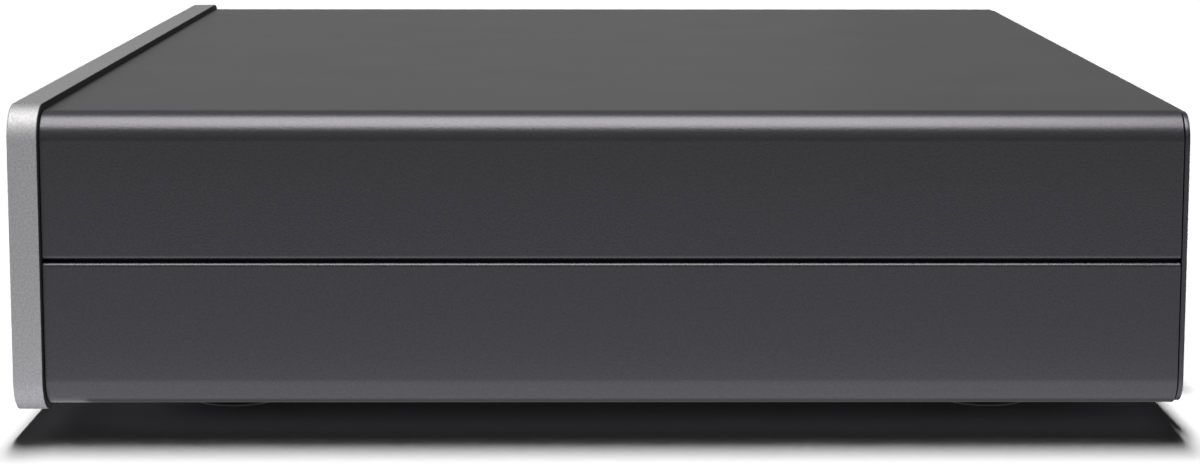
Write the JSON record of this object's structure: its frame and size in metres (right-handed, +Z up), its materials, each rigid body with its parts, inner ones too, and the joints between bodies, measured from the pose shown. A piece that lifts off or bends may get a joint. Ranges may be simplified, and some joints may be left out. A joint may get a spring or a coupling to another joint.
{
  "type": "network audio player",
  "caption": "Compact half-width network audio player: thick silver faceplate with flush buttons, two interlocked extruded shells, and a rear panel of sockets.",
  "frame": {"origin": "under the middle of the player, on the surface that the feet stand on", "axes": "+X towards the player's right side seen from the front, +Y from the faceplate to the rear sockets, +Z up"},
  "size_m": [0.215, 0.191, 0.052],
  "materials": {
    "silver_aluminium": "bead blasted and clear anodised, fine satin grain",
    "grey_aluminium": "bead blasted and dark grey anodised, satin",
    "black_plastic": "moulded black plastic, fine matt texture",
    "foam_tape": "black adhesive foam",
    "clear_plastic": "clear polished acrylic",
    "dark_lens": "polished dark infrared-pass plastic",
    "circuit_board": "solder-masked fibreglass",
    "ribbon_white": "flat flexible cable film",
    "plated_steel": "tin plated sheet",
    "zinc_steel": "zinc plated",
    "black_steel": "black oxide",
    "ferrite": "sintered ferrite with taped winding",
    "capacitor_sleeve": "shrunk sleeve",
    "copper_wire": "enamelled wire",
    "gold_plate": "gold plated, machined",
    "white_plastic": "moulded white plastic",
    "red_plastic": "moulded red plastic",
    "black_rubber": "matt rubber",
    "lead_sheath": "thin coax sheath"
  },
  "bodies": {
    "case": {"faceplate": "silver_aluminium", "upper_shell": "grey_aluminium", "lower_shell": "grey_aluminium", "rear_panel": "grey_aluminium", "front_subframe": "black_plastic", "phono_block": "black_plastic", "mains_inlet": "black_plastic", "optical_socket": "black_plastic", "faceplate_tape": "foam_tape", "standby_light_guide": "clear_plastic", "preset_light_guide": "clear_plastic", "infrared_window": "dark_lens", "infrared_receiver": "dark_lens", "front_board": "circuit_board", "main_board": "circuit_board", "network_card": "circuit_board", "ribbon_cable": "ribbon_white", "ethernet_socket": "plated_steel", "usb_socket": "plated_steel", "network_shield": "plated_steel", "transformer": "ferrite", "bulk_capacitor": "capacitor_sleeve", "filter_choke": "copper_wire", "digital_barrel": "gold_plate", "line_left_barrel": "gold_plate", "line_right_barrel": "gold_plate", "digital_insulator": "black_plastic", "line_left_insulator": "white_plastic", "line_right_insulator": "red_plastic", "preset_switch_1": "black_plastic", "front_screw_1": "zinc_steel", "rear_screw_1": "black_steel", "foot_1": "black_rubber", "preset_switch_2": "black_plastic", "front_screw_2": "zinc_steel", "rear_screw_2": "black_steel", "foot_2": "black_rubber", "preset_switch_3": "black_plastic", "front_screw_3": "zinc_steel", "rear_screw_3": "black_steel", "foot_3": "black_rubber", "preset_switch_4": "black_plastic", "front_screw_4": "zinc_steel", "rear_screw_4": "black_steel", "foot_4": "black_rubber", "standby_switch": "black_plastic", "board_screw_1": "zinc_steel", "antenna_lead_1": "lead_sheath", "antenna_socket_1": "gold_plate", "antenna_nut_1": "gold_plate", "board_screw_2": "zinc_steel", "antenna_lead_2": "lead_sheath", "antenna_socket_2": "gold_plate", "antenna_nut_2": "gold_plate"},
    "standby_button": {"standby_button": "silver_aluminium"},
    "preset_button_1": {"preset_button_1": "silver_aluminium"},
    "preset_button_2": {"preset_button_2": "silver_aluminium"},
    "preset_button_3": {"preset_button_3": "silver_aluminium"},
    "preset_button_4": {"preset_button_4": "silver_aluminium"},
    "optical_flap": {"optical_flap": "black_plastic"}
  },
  "joints": [
    {"name": "standby_press", "type": "slide", "parent": "case", "child": "standby_button", "axis": [0, 1, 0], "range_m": [0, 0.0005], "stiffness_N_per_m": 800, "springref_m": -0.0005},
    {"name": "preset_press_1", "type": "slide", "parent": "case", "child": "preset_button_1", "axis": [0, 1, 0], "range_m": [0, 0.0005], "stiffness_N_per_m": 800, "springref_m": -0.0005},
    {"name": "preset_press_2", "type": "slide", "parent": "case", "child": "preset_button_2", "axis": [0, 1, 0], "range_m": [0, 0.0005], "stiffness_N_per_m": 800, "springref_m": -0.0005},
    {"name": "preset_press_3", "type": "slide", "parent": "case", "child": "preset_button_3", "axis": [0, 1, 0], "range_m": [0, 0.0005], "stiffness_N_per_m": 800, "springref_m": -0.0005},
    {"name": "preset_press_4", "type": "slide", "parent": "case", "child": "preset_button_4", "axis": [0, 1, 0], "range_m": [0, 0.0005], "stiffness_N_per_m": 800, "springref_m": -0.0005},
    {"name": "optical_flap_hinge", "type": "hinge", "parent": "case", "child": "optical_flap", "pos_m": [0.006, 0.0856, 0.0283], "axis": [-1, 0, 0], "range_deg": [0, 88], "stiffness_Nm_per_rad": 0.00005, "springref_deg": -28.65}
  ]
}
